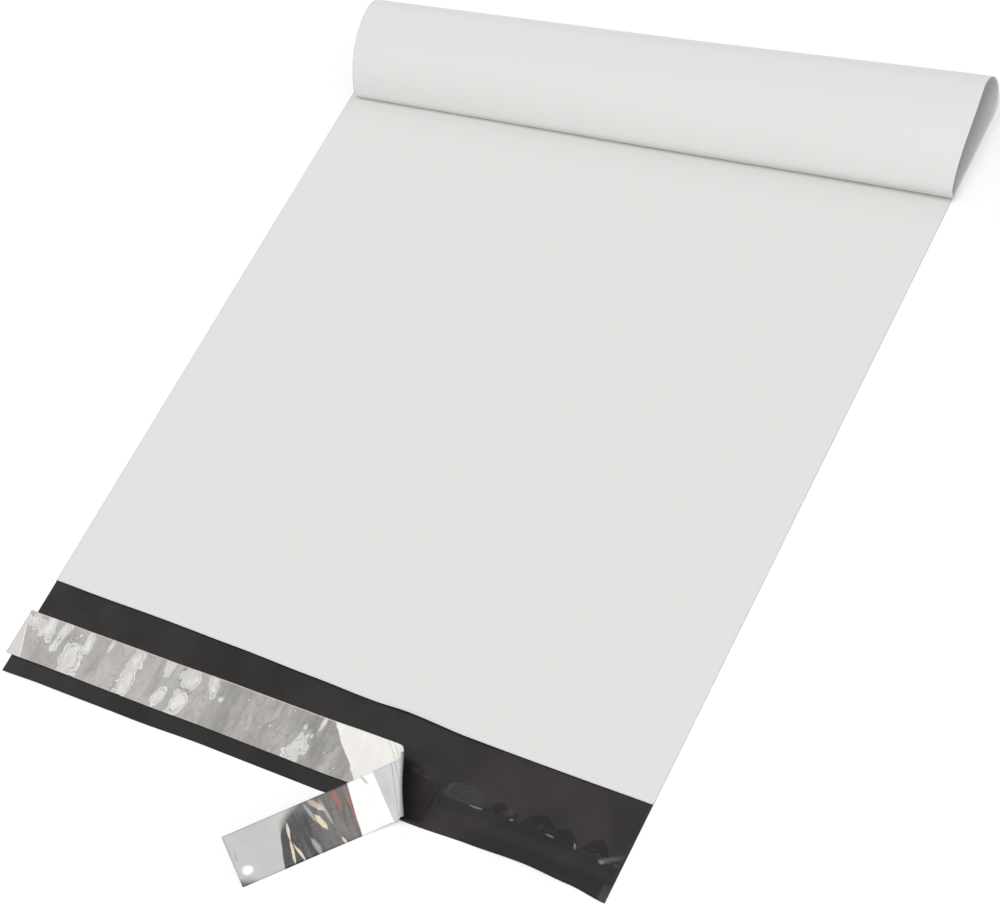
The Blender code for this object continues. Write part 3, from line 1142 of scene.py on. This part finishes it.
def lamp(name, kind, place, aim, power, **options):
    data = bpy.data.lights.new(name, kind)
    data.energy = power
    for option, value in options.items():
        setattr(data, option, value)
    obj = bpy.data.objects.new(name, data)
    bpy.context.scene.collection.objects.link(obj)
    obj.location = place
    obj.rotation_mode = "QUATERNION"
    obj.rotation_quaternion = (Vector(aim) - Vector(place)).to_track_quat("-Z", "Y")
    return obj


def seen_ray(tree):
    """1 for the rays that see this surface itself, straight or in a reflection."""
    rays = [
        add_node(tree, "ShaderNodeLightPath", {}, {}, name)
        for name in ("Is Camera Ray", "Is Glossy Ray", "Is Transmission Ray")
    ]
    return rays[0].most(rays[1]).most(rays[2])


class MAILER_OT_make_stage(bpy.types.Operator):
    """Make the white floor, the lamps and the camera"""

    bl_idname = "mailer.make_stage"
    bl_label = "Make stage"

    def execute(self, context):
        stage = context.scene.mailer_stage
        mesh = bpy.data.meshes.new("Floor")
        corners = ((-1, -1), (1, -1), (1, 1), (-1, 1))
        points = [(x * FLOOR_REACH, y * FLOOR_REACH, -FLOOR_DEPTH) for x, y in corners]
        mesh.from_pydata(points, [], [(0, 1, 2, 3)])
        finish = Finish(
            "Floor", Base_Color=stage.floor_colour, Roughness=0.9, Specular_IOR_Level=0.0,
            Emission_Strength=1.0,
        )
        glow = WHITE_LEVEL - stage.floor_colour[0]
        finish.set(Emission_Color=seen_ray(finish.tree).colours((0, 0, 0), (glow, glow, glow)))
        mesh.materials.append(finish.material)
        floor = bpy.data.objects.new("Floor", mesh)
        context.scene.collection.objects.link(floor)

        world = bpy.data.worlds.new("Daylight")
        world.use_nodes = True
        context.scene.world = world
        tree = world.node_tree
        background = tree.nodes["Background"]
        strength = stage.daylight + seen_ray(tree) * (1 - stage.daylight)
        tree.links.new(strength.socket, background.inputs["Strength"])
        background.inputs["Color"].default_value = (1, 1, 1, 1)

        steep = (Vector(LAMP_PLACE) - Vector(LAMP_AIM)).normalized().z
        sun = lamp(
            "Soft lamp", "SUN", LAMP_PLACE, LAMP_AIM, (1 - stage.daylight) * math.pi / steep,
            angle=LAMP_ANGLE,
        )

        data = bpy.data.cameras.new("Camera")
        data.sensor_width = 36.0
        data.lens = stage.lens
        data.clip_start = 0.05
        data.clip_end = 50.0
        camera = bpy.data.objects.new("Camera", data)
        context.scene.collection.objects.link(camera)
        look = Vector(stage.camera_aim) - Vector(stage.camera_place)
        turn = look.to_track_quat("-Z", "Y").to_matrix().to_4x4()
        roll = Matrix.Rotation(stage.camera_roll, 4, "Z")
        camera.matrix_world = Matrix.Translation(stage.camera_place) @ turn @ roll
        context.scene.camera = camera
        context.scene.view_settings.view_transform = "Standard"
        return {"FINISHED"}


class MAILER_PT_parts(bpy.types.Panel):
    """The mailer's pieces and settings in the sidebar"""

    bl_idname = "MAILER_PT_parts"
    bl_label = "Poly Mailer Bag"
    bl_space_type = "VIEW_3D"
    bl_region_type = "UI"
    bl_category = "Mailer"

    def draw(self, context):
        for operator in OPERATORS:
            self.layout.operator(operator.bl_idname)
        for name, group in SETTINGS.items():
            box = self.layout.box()
            box.label(text=group.__doc__.split(":")[0])
            settings = getattr(context.scene, name)
            for key in group.__annotations__:
                box.prop(settings, key)


OPERATORS = (
    MAILER_OT_make_bag,
    MAILER_OT_make_adhesive,
    MAILER_OT_make_liner,
    MAILER_OT_make_stage,
)


def register():
    for group in SETTINGS.values():
        bpy.utils.register_class(group)
    for name, group in SETTINGS.items():
        setattr(bpy.types.Scene, name, PointerProperty(type=group))
    for cls in (*OPERATORS, MAILER_PT_parts):
        bpy.utils.register_class(cls)


def unregister():
    for cls in reversed((*OPERATORS, MAILER_PT_parts)):
        bpy.utils.unregister_class(cls)
    for name, group in reversed(SETTINGS.items()):
        delattr(bpy.types.Scene, name)
        bpy.utils.unregister_class(group)


def main():
    register()
    bpy.ops.mailer.make_bag()
    bpy.ops.mailer.make_adhesive()
    bpy.ops.mailer.make_liner()
    bpy.ops.mailer.make_stage()


if __name__ == "__main__":
    main()
